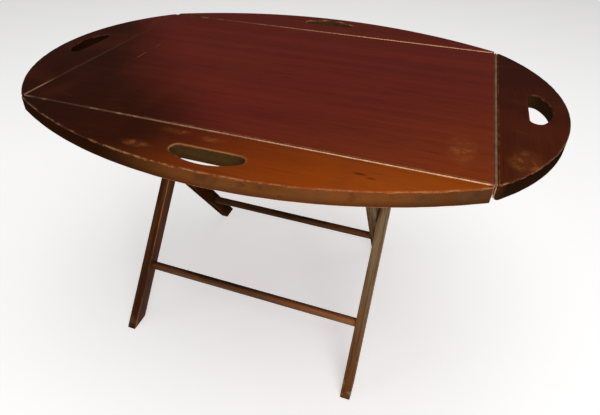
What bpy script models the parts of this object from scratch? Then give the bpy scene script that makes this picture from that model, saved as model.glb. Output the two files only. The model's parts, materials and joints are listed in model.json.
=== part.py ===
"""Butler's tray table: a tray with four folding leaves on a folding X-stand.

Frame: metres, +Z up, floor at z = 0, origin under the middle of the tray.
+X runs along the tray's length, and -Y is the side where the outer frame's feet stand.
"""
import math

import bmesh
import bpy
from mathutils import Matrix

# Tray and leaves. Lengths and widths run from fold line to fold line.
TRAY_LENGTH = 0.660
TRAY_WIDTH = 0.450
TABLE_HEIGHT = 0.504
BOARD = 0.022
SIDE_LEAF = 0.0935
END_LEAF = 0.0985
LEAF_TIP = 0.004
EDGE_ROUND = 0.0015
ARC_STEPS = 36

# Hand-hole in each leaf, straight on the fold side and bowed on the outer side.
HOLE_LENGTH = 0.102
HOLE_WIDTH = 0.0335
HOLE_CORNER = 0.010
HOLE_INSET = 0.044
HOLE_STEPS = 12

# Continuous hinges that stand between the board edges, knuckle at the top.
KNUCKLE_RADIUS = 0.0022
KNUCKLE_PROUD = 0.0002
KNUCKLE_PITCH = 0.044
PIN_RADIUS = 0.0009
PIN_PLAY = 0.00035
PLATE = 0.0014
PLATE_INSET = 0.0002
PLATE_SHORT = 0.002

# Stand. Leg sizes are square to the leg; heights are above the floor.
STAND_SHIFT = -0.025
LEAN = math.radians(37.3)
PIVOT_HEIGHT = 0.2585
LEG_THICK = 0.018
LEG_WIDTH = 0.029
LEG_EDGE = 0.0012
OUTER_LEG_X = 0.2215
ROD_RADIUS = 0.008
ROD_TENON_RADIUS = 0.005
ROD_TENON = 0.010
ROD_UP_LEG = 0.121
RAIL_WIDTH = 0.040
RAIL_HEIGHT = 0.019
RAIL_OVERHANG = 0.012
RAIL_EDGE = 0.003
TENON_WIDTH = 0.018
TENON_HEIGHT = 0.011
TENON_ROOT = 0.003

# Pivot hardware. Its heads and nuts are let into the legs' faces.
HEAD_SINK = 0.0042
NUT_SINK = 0.0086
SINK_PLAY = 0.0005
BOLT_RADIUS = 0.003
BOLT_HEAD_RADIUS = 0.0065
BOLT_HEAD = 0.0035
BOLT_END = 0.0015
WASHER_RADIUS = 0.0075
WASHER = 0.0012
NUT_FLATS = 0.010
NUT = 0.005

# Webbing that stops the stand at its open angle.
STRAP_X = 0.125
STRAP_WIDTH = 0.050
STRAP = 0.0016
STRAP_TAB = 0.014

# Touching pieces keep this gap. Boards stand clear of the knuckles by it.
GAP = 0.0003
ROUND_STEPS = 16

# Sizes that follow from the ones above.
EDGE_GAP = KNUCKLE_RADIUS + GAP
AXIS_DEPTH = KNUCKLE_RADIUS - KNUCKLE_PROUD
BORE_RADIUS = PIN_RADIUS + PIN_PLAY
RAIL_TOP = TABLE_HEIGHT - BOARD - STRAP - 2 * GAP
RAIL_BOTTOM = RAIL_TOP - RAIL_HEIGHT
LEG_TOP = RAIL_BOTTOM - GAP
LEG_HALF = LEG_WIDTH / (2 * math.cos(LEAN))
RAIL_Y = (LEG_TOP - PIVOT_HEIGHT) * math.tan(LEAN)
INNER_LEG_X = OUTER_LEG_X - LEG_THICK - WASHER - 2 * GAP
ROD_FROM_PIVOT = PIVOT_HEIGHT / math.cos(LEAN) - ROD_UP_LEG

# Turns an outline drawn in XY to stand in YZ, thick along X.
INTO_YZ = Matrix(((0, 0, 1, 0), (1, 0, 0, 0), (0, 1, 0, 0), (0, 0, 0, 1)))

# Sides of the tray: name, turn about Z, fold length, distance of the fold, leaf width.
SIDES = (
    ("front", 0.0, TRAY_LENGTH, TRAY_WIDTH / 2, SIDE_LEAF),
    ("right", math.pi / 2, TRAY_WIDTH, TRAY_LENGTH / 2, END_LEAF),
    ("back", math.pi, TRAY_LENGTH, TRAY_WIDTH / 2, SIDE_LEAF),
    ("left", -math.pi / 2, TRAY_WIDTH, TRAY_LENGTH / 2, END_LEAF),
)


def clear_scene():
    """Remove the scene's objects."""
    for old in list(bpy.data.objects):
        bpy.data.objects.remove(old, do_unlink=True)


def new_collection(name):
    """Return a new collection linked to the scene."""
    made = bpy.data.collections.new(name)
    bpy.context.scene.collection.children.link(made)
    return made


def make_material(name, colour, roughness, metallic=0.0):
    """Return a Principled material."""
    made = bpy.data.materials.new(name)
    made.use_nodes = True
    shader = made.node_tree.nodes["Principled BSDF"]
    shader.inputs["Base Color"].default_value = (*colour, 1.0)
    shader.inputs["Roughness"].default_value = roughness
    shader.inputs["Metallic"].default_value = metallic
    return made


class Kit:
    """Collections, materials and empties that every piece uses."""

    def __init__(self):
        self.parts = new_collection("Butlers_Tray_Table")
        self.cutters = new_collection("Cutters")
        self.mahogany = make_material("Mahogany", (0.085, 0.022, 0.016), 0.32)
        self.leg_wood = make_material("Leg_mahogany", (0.110, 0.040, 0.018), 0.45)
        self.brass = make_material("Brass", (0.420, 0.270, 0.130), 0.42, 1.0)
        self.steel = make_material("Steel", (0.330, 0.310, 0.290), 0.40, 1.0)
        self.webbing = make_material("Webbing", (0.200, 0.130, 0.075), 0.90)
        self.tray = self.empty("tray", (0.0, 0.0, TABLE_HEIGHT))
        self.outer = self.empty("outer_frame", (STAND_SHIFT, 0.0, PIVOT_HEIGHT))
        self.inner = self.empty("inner_frame", (STAND_SHIFT, 0.0, PIVOT_HEIGHT))

    def empty(self, name, location):
        """Return an empty that carries one moving group."""
        made = bpy.data.objects.new(name + "_origin", None)
        made.location = location
        self.parts.objects.link(made)
        return made

    def add(self, name, mesh, material, parent, location=(0.0, 0.0, 0.0), turn=0.0):
        """Add one sub-part; its location is relative to its parent."""
        made = bpy.data.objects.new(name, mesh)
        self.parts.objects.link(made)
        if not mesh.materials:
            mesh.materials.append(material)
        mesh.shade_smooth()
        mesh.set_sharp_from_angle(angle=math.radians(35))
        made.parent = parent
        made.location = location
        made.rotation_euler = (0.0, 0.0, turn)
        return made

    def cutter(self, name, mesh, target):
        """Add a hidden shape that rides in the same place as the sub-part it shapes."""
        made = bpy.data.objects.new(name, mesh)
        self.cutters.objects.link(made)
        made.parent = target
        made.hide_render = True
        made.display_type = "WIRE"
        return made


def boolean(target, tool, operation):
    """Shape a sub-part with a hidden one."""
    step = target.modifiers.new(tool.name, "BOOLEAN")
    step.operation = operation
    step.object = tool
    step.solver = "EXACT"


def bevel(target, width, segments=2):
    """Round the sharp edges of a sub-part."""
    step = target.modifiers.new("Round", "BEVEL")
    step.width = width
    step.segments = segments
    step.limit_method = "ANGLE"
    step.angle_limit = math.radians(40)


def circle(radius, steps, centre=(0.0, 0.0)):
    """Return the points of a circle."""
    turns = [2 * math.pi * (i + 0.5) / steps for i in range(steps)]
    return [(centre[0] + radius * math.cos(a), centre[1] + radius * math.sin(a)) for a in turns]


def flat_solid(name, outlines, thickness):
    """Return a mesh: closed outlines in XY, holes included, thick along Z about z = 0."""
    curve = bpy.data.curves.new(name, "CURVE")
    curve.dimensions = "2D"
    curve.fill_mode = "BOTH"
    curve.extrude = thickness / 2
    for points in outlines:
        spline = curve.splines.new("POLY")
        spline.points.add(len(points) - 1)
        spline.use_cyclic_u = True
        for point, (x, y) in zip(spline.points, points):
            point.co = (x, y, 0.0, 1.0)
    holder = bpy.data.objects.new(name, curve)
    bpy.context.scene.collection.objects.link(holder)
    bpy.context.view_layer.update()
    ready = holder.evaluated_get(bpy.context.evaluated_depsgraph_get())
    mesh = bpy.data.meshes.new_from_object(ready)
    bpy.data.objects.remove(holder, do_unlink=True)
    work = bmesh.new()
    work.from_mesh(mesh)
    bmesh.ops.remove_doubles(work, verts=work.verts, dist=1e-6)
    bmesh.ops.recalc_face_normals(work, faces=work.faces)
    work.to_mesh(mesh)
    work.free()
    mesh.name = name
    return mesh


def boxes(name, items):
    """Return one mesh of separate boxes, each given as (centre, size)."""
    mesh = bpy.data.meshes.new(name)
    work = bmesh.new()
    for centre, size in items:
        place = Matrix.Translation(centre) @ Matrix.Diagonal((*size, 1.0))
        bmesh.ops.create_cube(work, size=1.0, matrix=place)
    work.to_mesh(mesh)
    work.free()
    return mesh


def x_cylinders(name, items, steps):
    """Return one mesh of cylinders along X, each given as (centre, radius, length)."""
    mesh = bpy.data.meshes.new(name)
    work = bmesh.new()
    lay_down = Matrix.Rotation(math.pi / 2, 4, "Y")
    for centre, radius, length in items:
        bmesh.ops.create_cone(
            work, cap_ends=True, segments=steps, radius1=radius, radius2=radius,
            depth=length, matrix=Matrix.Translation(centre) @ lay_down)
    work.to_mesh(mesh)
    work.free()
    return mesh


def turned(kit, name, profile, material, parent, location, side=1):
    """Add a piece turned about X; the profile gives (radius, x) from the +X end down."""
    mesh = bpy.data.meshes.new(name)
    points = [(radius, 0.0, height) for radius, height in profile]
    mesh.from_pydata(points, [(i, i + 1) for i in range(len(points) - 1)], [])
    made = kit.add(name, mesh, material, parent, location)
    made.rotation_euler = (0.0, side * math.pi / 2, 0.0)
    step = made.modifiers.new("Turn", "SCREW")
    step.axis = "Z"
    step.steps = ROUND_STEPS
    step.render_steps = ROUND_STEPS
    step.use_merge_vertices = True
    step.merge_threshold = 0.00001
    step.use_smooth_shade = True
    return made


def leaf_outline(fold_length, width):
    """Return the outline of a leaf that reaches out along -Y from its fold."""
    half = fold_length / 2 - EDGE_GAP
    start = EDGE_GAP + LEAF_TIP
    rise = width - start
    radius = (half * half + rise * rise) / (2 * rise)
    centre = radius - width
    sweep = math.asin(half / radius)
    points = [(-half, -EDGE_GAP)]
    for i in range(ARC_STEPS + 1):
        angle = sweep * (2 * i / ARC_STEPS - 1)
        points.append((radius * math.sin(angle), centre - radius * math.cos(angle)))
    points.append((half, -EDGE_GAP))
    return points


def slot_outline():
    """Return the outline of a hand-hole; its corners and its bow meet without a kink."""
    across = HOLE_LENGTH / 2 - HOLE_CORNER
    down = HOLE_WIDTH - HOLE_CORNER
    bow = (across ** 2 + down ** 2 - HOLE_CORNER ** 2) / (2 * (down - HOLE_CORNER))
    lean = math.atan2(across, bow - down)
    points = []
    for i in range(HOLE_STEPS + 1):
        angle = math.pi / 2 - (math.pi - lean) * i / HOLE_STEPS
        x = across + HOLE_CORNER * math.cos(angle)
        points.append((x, HOLE_CORNER * (math.sin(angle) - 1) - HOLE_INSET))
    far_corner = [(-x, y) for x, y in reversed(points)]
    for i in range(1, HOLE_STEPS):
        angle = lean * (1 - 2 * i / HOLE_STEPS)
        y = bow * (1 - math.cos(angle)) - HOLE_WIDTH - HOLE_INSET
        points.append((bow * math.sin(angle), y))
    return points + far_corner


def make_tray(kit):
    """The fixed board in the middle."""
    length = TRAY_LENGTH - 2 * EDGE_GAP
    width = TRAY_WIDTH - 2 * EDGE_GAP
    mesh = boxes("tray_board", [((0.0, 0.0, -BOARD / 2), (length, width, BOARD))])
    board = kit.add("tray_board", mesh, kit.mahogany, kit.tray)
    bevel(board, EDGE_ROUND / 3, 1)


def make_leaf(kit, name, turn, fold_length, fold_at, width):
    """A hinged leaf with its hand-hole; its origin is on the hinge axis."""
    outlines = [leaf_outline(fold_length, width), slot_outline()]
    mesh = flat_solid(name + "_leaf", outlines, BOARD)
    mesh.transform(Matrix.Translation((0.0, 0.0, AXIS_DEPTH - BOARD / 2)))
    leaf = kit.add(name + "_leaf", mesh, kit.mahogany, kit.tray, fold_place(turn, fold_at), turn)
    bevel(leaf, EDGE_ROUND)


def fold_place(turn, fold_at):
    """Return the middle of a fold's axis relative to the tray's origin."""
    return (fold_at * math.sin(turn), -fold_at * math.cos(turn), -AXIS_DEPTH)


def knuckle_spans(length):
    """Return (centre, length) of a hinge's knuckles from end to end; their number is odd."""
    count = 2 * round(length / (2 * KNUCKLE_PITCH)) + 1
    pitch = length / count
    return [((i + 0.5) * pitch - length / 2, pitch - GAP) for i in range(count)]


def plate_outline(spans, mine):
    """Return a hinge plate's outline in XZ: tabs rise to the axis where its knuckles are."""
    end = spans[-1][0] + spans[-1][1] / 2
    low = AXIS_DEPTH - BOARD + PLATE_SHORT
    clear = -(KNUCKLE_RADIUS + GAP)
    points = [(-end, low), (-end, clear)]
    for centre, length in mine:
        start = centre - length / 2
        stop = centre + length / 2
        points.extend(((start, clear), (start, 0.0), (stop, 0.0), (stop, clear)))
    points.extend(((end, clear), (end, low)))
    before = points[-1:] + points[:-1]
    return [here for here, last in zip(points, before) if math.dist(here, last) > GAP / 10]


def make_hinge(kit, name, turn, fold_length, fold_at):
    """A continuous hinge: a fixed plate, a moving plate and the pin."""
    place = fold_place(turn, fold_at)
    length = fold_length - 2 * EDGE_GAP
    spans = knuckle_spans(length)
    stand_up = Matrix.Rotation(math.pi / 2, 4, "X")
    for kind, side, mine in (("fixed", 1, spans[0::2]), ("moving", -1, spans[1::2])):
        piece = f"{name}_hinge_{kind}_plate"
        mesh = flat_solid(piece, [plate_outline(spans, mine)], PLATE)
        middle = side * (KNUCKLE_RADIUS - PLATE_INSET - PLATE / 2)
        mesh.transform(Matrix.Translation((0.0, middle, 0.0)) @ stand_up)
        plate = kit.add(piece, mesh, kit.brass, kit.tray, place, turn)
        tubes = [((x, 0.0, 0.0), KNUCKLE_RADIUS, run) for x, run in mine]
        tubes_mesh = x_cylinders(piece + "_knuckles", tubes, 10)
        boolean(plate, kit.cutter(piece + "_knuckles", tubes_mesh, plate), "UNION")
        bore_mesh = x_cylinders(piece + "_bore", [((0.0, 0.0, 0.0), BORE_RADIUS, 1.1 * length)], 8)
        boolean(plate, kit.cutter(piece + "_bore", bore_mesh, plate), "DIFFERENCE")
    pin_mesh = x_cylinders(name + "_hinge_pin", [((0.0, 0.0, 0.0), PIN_RADIUS, length - GAP)], 8)
    kit.add(name + "_hinge_pin", pin_mesh, kit.brass, kit.tray, place, turn)


def leg_outline(slope):
    """Return a leg's outline in YZ about the pivot; slope is +1 where its top leans to +Y."""
    foot_z = -PIVOT_HEIGHT
    top_z = LEG_TOP - PIVOT_HEIGHT
    foot_y = slope * foot_z * math.tan(LEAN)
    top_y = slope * RAIL_Y
    return [
        (foot_y - LEG_HALF, foot_z), (foot_y + LEG_HALF, foot_z),
        (top_y + LEG_HALF, top_z), (top_y - LEG_HALF, top_z),
    ]


def rod_centre(slope):
    """Return the (y, z) of a frame's lower rod about the pivot."""
    return (-slope * ROD_FROM_PIVOT * math.sin(LEAN), -ROD_FROM_PIVOT * math.cos(LEAN))


def make_legs(kit, frame, parent, leg_x, slope):
    """The two legs of a frame, each with a tenon on top and holes for the bolt and the rod."""
    rod_y, rod_z = rod_centre(slope)
    out, sink, wide = (1, HEAD_SINK, BOLT_HEAD_RADIUS)
    if frame == "inner":
        out, sink, wide = (-1, NUT_SINK, WASHER_RADIUS)
    for name, side in (("left", -1), ("right", 1)):
        piece = f"{frame}_leg_{name}"
        mesh = flat_solid(piece, [leg_outline(slope)], LEG_THICK)
        mesh.transform(INTO_YZ)
        leg = kit.add(piece, mesh, kit.leg_wood, parent, (side * leg_x, 0.0, 0.0))
        bevel(leg, LEG_EDGE, 1)
        tenon_middle = LEG_TOP - PIVOT_HEIGHT + (TENON_HEIGHT - TENON_ROOT) / 2
        tenon_size = (LEG_THICK - 2 * LEG_EDGE, TENON_WIDTH, TENON_HEIGHT + TENON_ROOT)
        tenon_mesh = boxes(piece + "_tenon", [((0.0, slope * RAIL_Y, tenon_middle), tenon_size)])
        boolean(leg, kit.cutter(piece + "_tenon", tenon_mesh, leg), "UNION")
        depth = ROD_TENON + GAP
        socket_x = -side * (LEG_THICK / 2 - depth / 2 + GAP)
        holes = [
            ((0.0, 0.0, 0.0), BOLT_RADIUS + GAP, 2 * LEG_THICK),
            ((socket_x, rod_y, rod_z), ROD_TENON_RADIUS + GAP, depth + 2 * GAP),
        ]
        hole_mesh = x_cylinders(piece + "_holes", holes, ROUND_STEPS)
        boolean(leg, kit.cutter(piece + "_holes", hole_mesh, leg), "DIFFERENCE")
        sink_x = side * out * (LEG_THICK - sink + GAP) / 2
        sinks = [((sink_x, 0.0, 0.0), wide + SINK_PLAY, sink + GAP)]
        sink_mesh = x_cylinders(piece + "_sink", sinks, ROUND_STEPS)
        boolean(leg, kit.cutter(piece + "_sink", sink_mesh, leg), "DIFFERENCE")


def make_rod(kit, frame, parent, leg_x, slope):
    """The lower rod between a frame's legs, with a tenon at each end."""
    half = leg_x - LEG_THICK / 2 - GAP
    end = half + ROD_TENON
    profile = [
        (0.0, end), (ROD_TENON_RADIUS, end), (ROD_TENON_RADIUS, half), (ROD_RADIUS, half),
        (ROD_RADIUS, -half), (ROD_TENON_RADIUS, -half), (ROD_TENON_RADIUS, -end), (0.0, -end),
    ]
    rod_y, rod_z = rod_centre(slope)
    turned(kit, frame + "_rod", profile, kit.leg_wood, parent, (0.0, rod_y, rod_z))


def make_rail(kit, frame, parent, leg_x, slope):
    """The top rail of a frame, mortised onto the legs' tenons."""
    length = 2 * (OUTER_LEG_X + LEG_THICK / 2 + RAIL_OVERHANG)
    middle = (RAIL_TOP + RAIL_BOTTOM) / 2 - PIVOT_HEIGHT
    piece = frame + "_top_rail"
    mesh = boxes(piece, [((0.0, 0.0, 0.0), (length, RAIL_WIDTH, RAIL_HEIGHT))])
    rail = kit.add(piece, mesh, kit.leg_wood, parent, (0.0, slope * RAIL_Y, middle))
    bevel(rail, RAIL_EDGE, 3)
    below = -RAIL_HEIGHT / 2 - GAP
    top = below + TENON_HEIGHT + GAP
    size = (LEG_THICK - 2 * LEG_EDGE + 2 * GAP, TENON_WIDTH + 2 * GAP, top - below + GAP)
    pockets = [((side * leg_x, 0.0, (top + below - GAP) / 2), size) for side in (-1, 1)]
    pocket_mesh = boxes(piece + "_mortises", pockets)
    boolean(rail, kit.cutter(piece + "_mortises", pocket_mesh, rail), "DIFFERENCE")


def make_pivot(kit, name, side):
    """A pivot's bolt, spacer washer, end washer and nut; the bolt head is on the outer leg."""
    head_at = OUTER_LEG_X + LEG_THICK / 2 - HEAD_SINK + GAP
    washer_at = INNER_LEG_X - LEG_THICK / 2 + NUT_SINK - GAP
    nut_at = washer_at - WASHER - GAP
    end_at = nut_at - NUT - BOLT_END
    profile = [
        (0.0, head_at + BOLT_HEAD), (0.55 * BOLT_HEAD_RADIUS, head_at + 0.85 * BOLT_HEAD),
        (0.87 * BOLT_HEAD_RADIUS, head_at + 0.5 * BOLT_HEAD), (BOLT_HEAD_RADIUS, head_at),
        (BOLT_RADIUS, head_at), (BOLT_RADIUS, end_at), (0.0, end_at),
    ]
    turned(kit, f"pivot_bolt_{name}", profile, kit.steel, kit.outer, (0.0, 0.0, 0.0), side)
    lay_down = Matrix.Rotation(math.pi / 2, 4, "Y")
    hole = circle(BOLT_RADIUS + GAP, ROUND_STEPS)
    ring = [circle(WASHER_RADIUS, ROUND_STEPS), hole]
    hexagon = [circle(NUT_FLATS / math.sqrt(3), 6), hole]
    pieces = (
        ("spacer_washer", ring, WASHER, OUTER_LEG_X - LEG_THICK / 2 - GAP - WASHER / 2),
        ("end_washer", ring, WASHER, washer_at - WASHER / 2),
        ("nut", hexagon, NUT, nut_at - NUT / 2),
    )
    for kind, outlines, thick, x in pieces:
        piece = f"pivot_{kind}_{name}"
        mesh = flat_solid(piece, outlines, thick)
        mesh.transform(lay_down)
        kit.add(piece, mesh, kit.steel, kit.outer, (side * x, 0.0, 0.0))


def make_strap(kit, name, x):
    """A webbing strap over both rails, with a tab down the outside of each."""
    bottom = RAIL_TOP + GAP - PIVOT_HEIGHT
    top = bottom + STRAP
    inside = RAIL_Y + RAIL_WIDTH / 2 + GAP
    outside = inside + STRAP
    tab = top - STRAP - STRAP_TAB
    outline = [
        (-outside, tab), (-inside, tab), (-inside, bottom), (inside, bottom),
        (inside, tab), (outside, tab), (outside, top), (-outside, top),
    ]
    piece = f"strap_{name}"
    mesh = flat_solid(piece, [outline], STRAP_WIDTH)
    mesh.transform(INTO_YZ)
    kit.add(piece, mesh, kit.webbing, kit.outer, (x, 0.0, 0.0))


def make_stand(kit):
    """The outer frame leans its top to +Y, and the inner frame crosses it."""
    frames = (
        ("outer", kit.outer, OUTER_LEG_X, 1),
        ("inner", kit.inner, INNER_LEG_X, -1),
    )
    for frame in frames:
        make_legs(kit, *frame)
        make_rod(kit, *frame)
        make_rail(kit, *frame)
    for name, side in (("left", -1), ("right", 1)):
        make_pivot(kit, name, side)
        make_strap(kit, name, side * STRAP_X)


def main():
    """Build the table."""
    clear_scene()
    kit = Kit()
    make_tray(kit)
    for name, turn, fold_length, fold_at, width in SIDES:
        make_leaf(kit, name, turn, fold_length, fold_at, width)
        make_hinge(kit, name, turn, fold_length, fold_at)
    make_stand(kit)
    bpy.context.view_layer.update()


main()
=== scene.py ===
"""Looks of a butler's tray table: worn mahogany boards, brass hinges and a folding stand."""
import json
import math

import bmesh
import bpy
from bpy.props import FloatProperty, FloatVectorProperty, IntProperty, PointerProperty
from mathutils import Matrix, Vector, noise

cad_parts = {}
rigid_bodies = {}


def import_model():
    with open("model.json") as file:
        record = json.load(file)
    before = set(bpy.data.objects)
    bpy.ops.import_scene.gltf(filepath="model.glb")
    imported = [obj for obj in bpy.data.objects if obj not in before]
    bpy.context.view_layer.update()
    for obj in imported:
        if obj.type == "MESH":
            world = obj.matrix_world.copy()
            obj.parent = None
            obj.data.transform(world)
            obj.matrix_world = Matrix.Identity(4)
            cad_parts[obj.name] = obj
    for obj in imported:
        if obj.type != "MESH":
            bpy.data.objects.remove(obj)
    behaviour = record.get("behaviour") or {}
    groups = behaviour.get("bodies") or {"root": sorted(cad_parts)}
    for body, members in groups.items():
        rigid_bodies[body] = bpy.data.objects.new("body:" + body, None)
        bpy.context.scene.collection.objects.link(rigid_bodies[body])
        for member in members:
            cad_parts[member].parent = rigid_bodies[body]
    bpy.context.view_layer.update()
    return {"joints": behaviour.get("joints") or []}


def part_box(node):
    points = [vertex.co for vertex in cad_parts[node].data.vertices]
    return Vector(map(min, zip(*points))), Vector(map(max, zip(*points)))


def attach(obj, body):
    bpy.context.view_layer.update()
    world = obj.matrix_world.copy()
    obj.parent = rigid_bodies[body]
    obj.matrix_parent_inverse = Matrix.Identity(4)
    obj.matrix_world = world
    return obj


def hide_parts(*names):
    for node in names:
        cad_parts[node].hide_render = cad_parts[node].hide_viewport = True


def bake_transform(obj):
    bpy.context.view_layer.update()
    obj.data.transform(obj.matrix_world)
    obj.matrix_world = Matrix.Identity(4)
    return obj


bl_info = {
    "name": "Butler's Tray Table",
    "version": (1, 0, 0),
    "blender": (4, 5, 0),
    "location": "3D View > Sidebar > Tray Table",
    "description": "Models the boards, hinges, stand and webbing of a butler's tray table",
    "category": "Add Mesh",
}

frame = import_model()
SIDES = ("front", "right", "back", "left")
FRAMES = ("outer", "inner")
HANDS = (("left", -1), ("right", 1))
JOINTS = {joint["name"]: joint for joint in frame["joints"]}
PIVOT = Vector(JOINTS["stand_fold"]["pos_m"])
TOP_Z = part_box("tray_board")[1].z
BOARD = TOP_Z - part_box("tray_board")[0].z
FLOOR_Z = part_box("outer_leg_left")[0].z

# Sizes in metres that the settings below leave fixed.
BOLT_HEAD = 0.0035
EDGE_GAP = 0.0003
RECESS_ROOM = 0.0005
PLATE_INNER = 0.0006
PLATE_SETBACK = 0.0002
SCREWLESS = 0.03
SCREW_HEAD = 0.0012
SCREW_PLACE = 0.00115
SLOT_DEPTH = 0.0005
SHANK = 0.0030
THREAD_PITCH = 0.0008
THREAD_PAST_NUT = 0.003
BORE = 0.0033
TACK_DOME = 0.0012
WOOD_RELIEF = 0.0006
METAL_RELIEF = 0.0002

# Dirt, pores, glints and painted shade that the settings below leave fixed.
SHADED_TIP = (0.012, 0.0036, 0.0016)
GLOW = (0.170, 0.030, 0.0100)
PORE = (0.012, 0.0025, 0.001)
BLOT = (0.050, 0.0080, 0.0020)
SHADED_SAWN = (0.016, 0.0040, 0.0018)
DARK_SAWN = (0.0100, 0.0046, 0.0022)
GREYED_SAWN = (0.125, 0.068, 0.036)
STREAK = (0.030, 0.010, 0.004)
GRIME = (0.030, 0.0110, 0.0050)
SAWN_PORE = (0.020, 0.007, 0.003)
SHADED_STAND = (0.011, 0.0058, 0.0026)
STAND_PORE = (0.012, 0.005, 0.002)
SCUFFED_FOOT = (0.360, 0.240, 0.150)
RUST = (0.10, 0.075, 0.055)
FUZZ = (0.40, 0.30, 0.19)


def length(name, description, default):
    """A length that a user can change."""
    return FloatProperty(name=name, description=description, default=default, unit="LENGTH",
                         precision=5, min=0.0)


def colour(name, description, default):
    """A colour that a user can change."""
    return FloatVectorProperty(name=name, description=description, default=default,
                               subtype="COLOR", size=3, min=0.0, max=1.0)


class BoardSettings(bpy.types.PropertyGroup):
    """Sizes and colours of the tray board and its leaves."""

    tip: length("Leaf tip", "Width of a leaf's blunt ends", 0.004)
    hole_length: length("Hand-hole length", "Length of a hand-hole", 0.1005)
    hole_width: length("Hand-hole width", "Width of a hand-hole at its middle", 0.0325)
    hole_corner: length("Hand-hole corner", "Radius of a hand-hole's corners", 0.010)
    hole_inset: length("Hand-hole inset", "Fold line to the hand-hole", 0.0446)
    arris: length("Arris", "Radius of a leaf's rounded edges", 0.0014)
    fold_arris: length("Fold arris", "Radius of the tray board's edges", 0.0008)
    dents: length("Dents", "Depth of the knocks along the edges", 0.00035)
    arc_steps: IntProperty(name="Arc steps", description="Steps along a leaf's curved edge",
                           default=110, min=12)
    # Painted shade: the top's dark left corner takes this colour.
    shade: colour("Shade", "Wood at the dark end", (0.036, 0.0058, 0.0014))
    heart: colour("Heart", "Wood in the middle", (0.148, 0.0182, 0.0102))
    warm: colour("Warm", "Wood of the front leaf", (0.135, 0.0165, 0.0020))
    # Painted light: the front right of the top is painted lighter with this colour.
    lit_tone: colour("Faded", "Wood where light has faded it", (0.330, 0.0600, 0.0022))
    scuffed: colour("Scuffed", "Polish dulled by scuffs", (0.320, 0.090, 0.018))
    edge: colour("Edge", "Wood of the sawn edges", (0.215, 0.068, 0.0170))
    raw: colour("Raw wood", "Wood inside the hand-holes", (0.088, 0.046, 0.0130))
    # Also painted highlight: the pale rim round the front hand-hole.
    rubbed_and_lit: colour("Rubbed", "Bare wood along worn edges", (0.480, 0.205, 0.0830))


class HingeSettings(bpy.types.PropertyGroup):
    """Sizes and colours of the continuous hinges."""

    pitch: length("Knuckle pitch", "Length of one knuckle", 0.0128)
    radius: length("Knuckle radius", "Outside radius of a knuckle", 0.00209)
    bore: length("Bore radius", "Inside radius of a knuckle", 0.0012)
    pin: length("Pin radius", "Radius of the hinge pin", 0.0009)
    play: length("End play", "Gap between knuckles", 0.0003)
    screw_radius: length("Screw radius", "Radius of a screw head", 0.0028)
    screw_pitch: length("Screw pitch", "Distance between screws", 0.051)
    brass: colour("Brass", "Colour of the dull brass", (0.720, 0.380, 0.210))
    tarnish: colour("Tarnish", "Colour of the tarnish", (0.300, 0.140, 0.075))
    # Also painted shade: the hinges darken toward this colour on the left.
    grime: colour("Grime", "Colour of old polish on the brass", (0.040, 0.0120, 0.0050))


class StandSettings(bpy.types.PropertyGroup):
    """Sizes and colours of the folding stand."""

    leg_width: length("Leg width", "Leg's width across its length", 0.029)
    leg_arris: length("Leg arris", "Radius of a leg's edges", 0.0017)
    rail_arris: length("Rail arris", "Radius of a rail's edges", 0.0032)
    dents: length("Dents", "Depth of the knocks along the legs", 0.00030)
    shade: colour("Shade", "Wood of the legs at its darkest", (0.026, 0.0080, 0.0020))
    stain: colour("Stain", "Usual stained wood of the legs", (0.090, 0.0240, 0.0045))
    # Also painted light on the stand's right side.
    rubbed_and_lit: colour("Rubbed", "Legs where the stain is rubbed", (0.185, 0.0700, 0.0200))
    # Painted sheen, with some bleaching, on the upper right end of the outer frame.
    bleach_and_sheen: colour("Bleached", "Legs where light bleached them", (0.420, 0.3100, 0.170))
    # Also painted highlights along the rods' tops and the outer legs' edges.
    arris: colour("Arris", "Bare wood along the legs' edges", (0.480, 0.1650, 0.0450))
    steel: colour("Steel", "Colour of the bolts", (0.420, 0.390, 0.350))


class WebbingSettings(bpy.types.PropertyGroup):
    """Sizes and colours of the webbing straps."""

    thickness: length("Thickness", "Thickness of the webbing", 0.0012)
    thread: length("Thread", "Width of one warp thread", 0.0020)
    tack_radius: length("Tack radius", "Radius of a tack's head", 0.0042)
    jute: colour("Jute", "Colour of the webbing", (0.300, 0.205, 0.112))
    stripe: colour("Stripe", "Colour of the stripes by its edges", (0.085, 0.028, 0.016))


class StageSettings(bpy.types.PropertyGroup):
    """Floor, light and camera."""

    floor: colour("Floor", "Colour of the floor", (0.86, 0.86, 0.86))
    lens: FloatProperty(name="Lens", description="Focal length", default=29.25, min=1.0,
                        unit="CAMERA")
    turn: FloatProperty(name="Turn", description="Camera's turn about the vertical",
                        default=math.radians(19.21), subtype="ANGLE")
    dip: FloatProperty(name="Dip", description="How far the camera looks down",
                       default=math.radians(34.14), subtype="ANGLE")
    roll: FloatProperty(name="Roll", description="Camera's roll", default=math.radians(0.86),
                        subtype="ANGLE")


class Value:
    """A number or a colour in a shader; sums and masks of it add nodes."""

    def __init__(self, shader, socket):
        self.shader = shader
        self.socket = socket

    def __add__(self, other):
        return self.shader.math("ADD", self, other)

    def __sub__(self, other):
        return self.shader.math("SUBTRACT", self, other)

    def __rsub__(self, other):
        return self.shader.math("SUBTRACT", other, self)

    def __mul__(self, other):
        return self.shader.math("MULTIPLY", self, other)

    def __or__(self, other):
        return self.shader.math("MAXIMUM", self, other)

    def __abs__(self):
        return self.shader.math("ABSOLUTE", self)

    def band(self, low, high, start=0.0, stop=1.0):
        """Map low..high smoothly to start..stop, clamped."""
        feeds = {"Value": self, "From Min": low, "From Max": high, "To Min": start, "To Max": stop}
        return self.shader.step("ShaderNodeMapRange", "Result", feeds,
                                interpolation_type="SMOOTHSTEP")

    def toward(self, colour, share):
        """Mix this colour with a share of another."""
        return self.shader.mix(share, self, colour)


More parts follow.
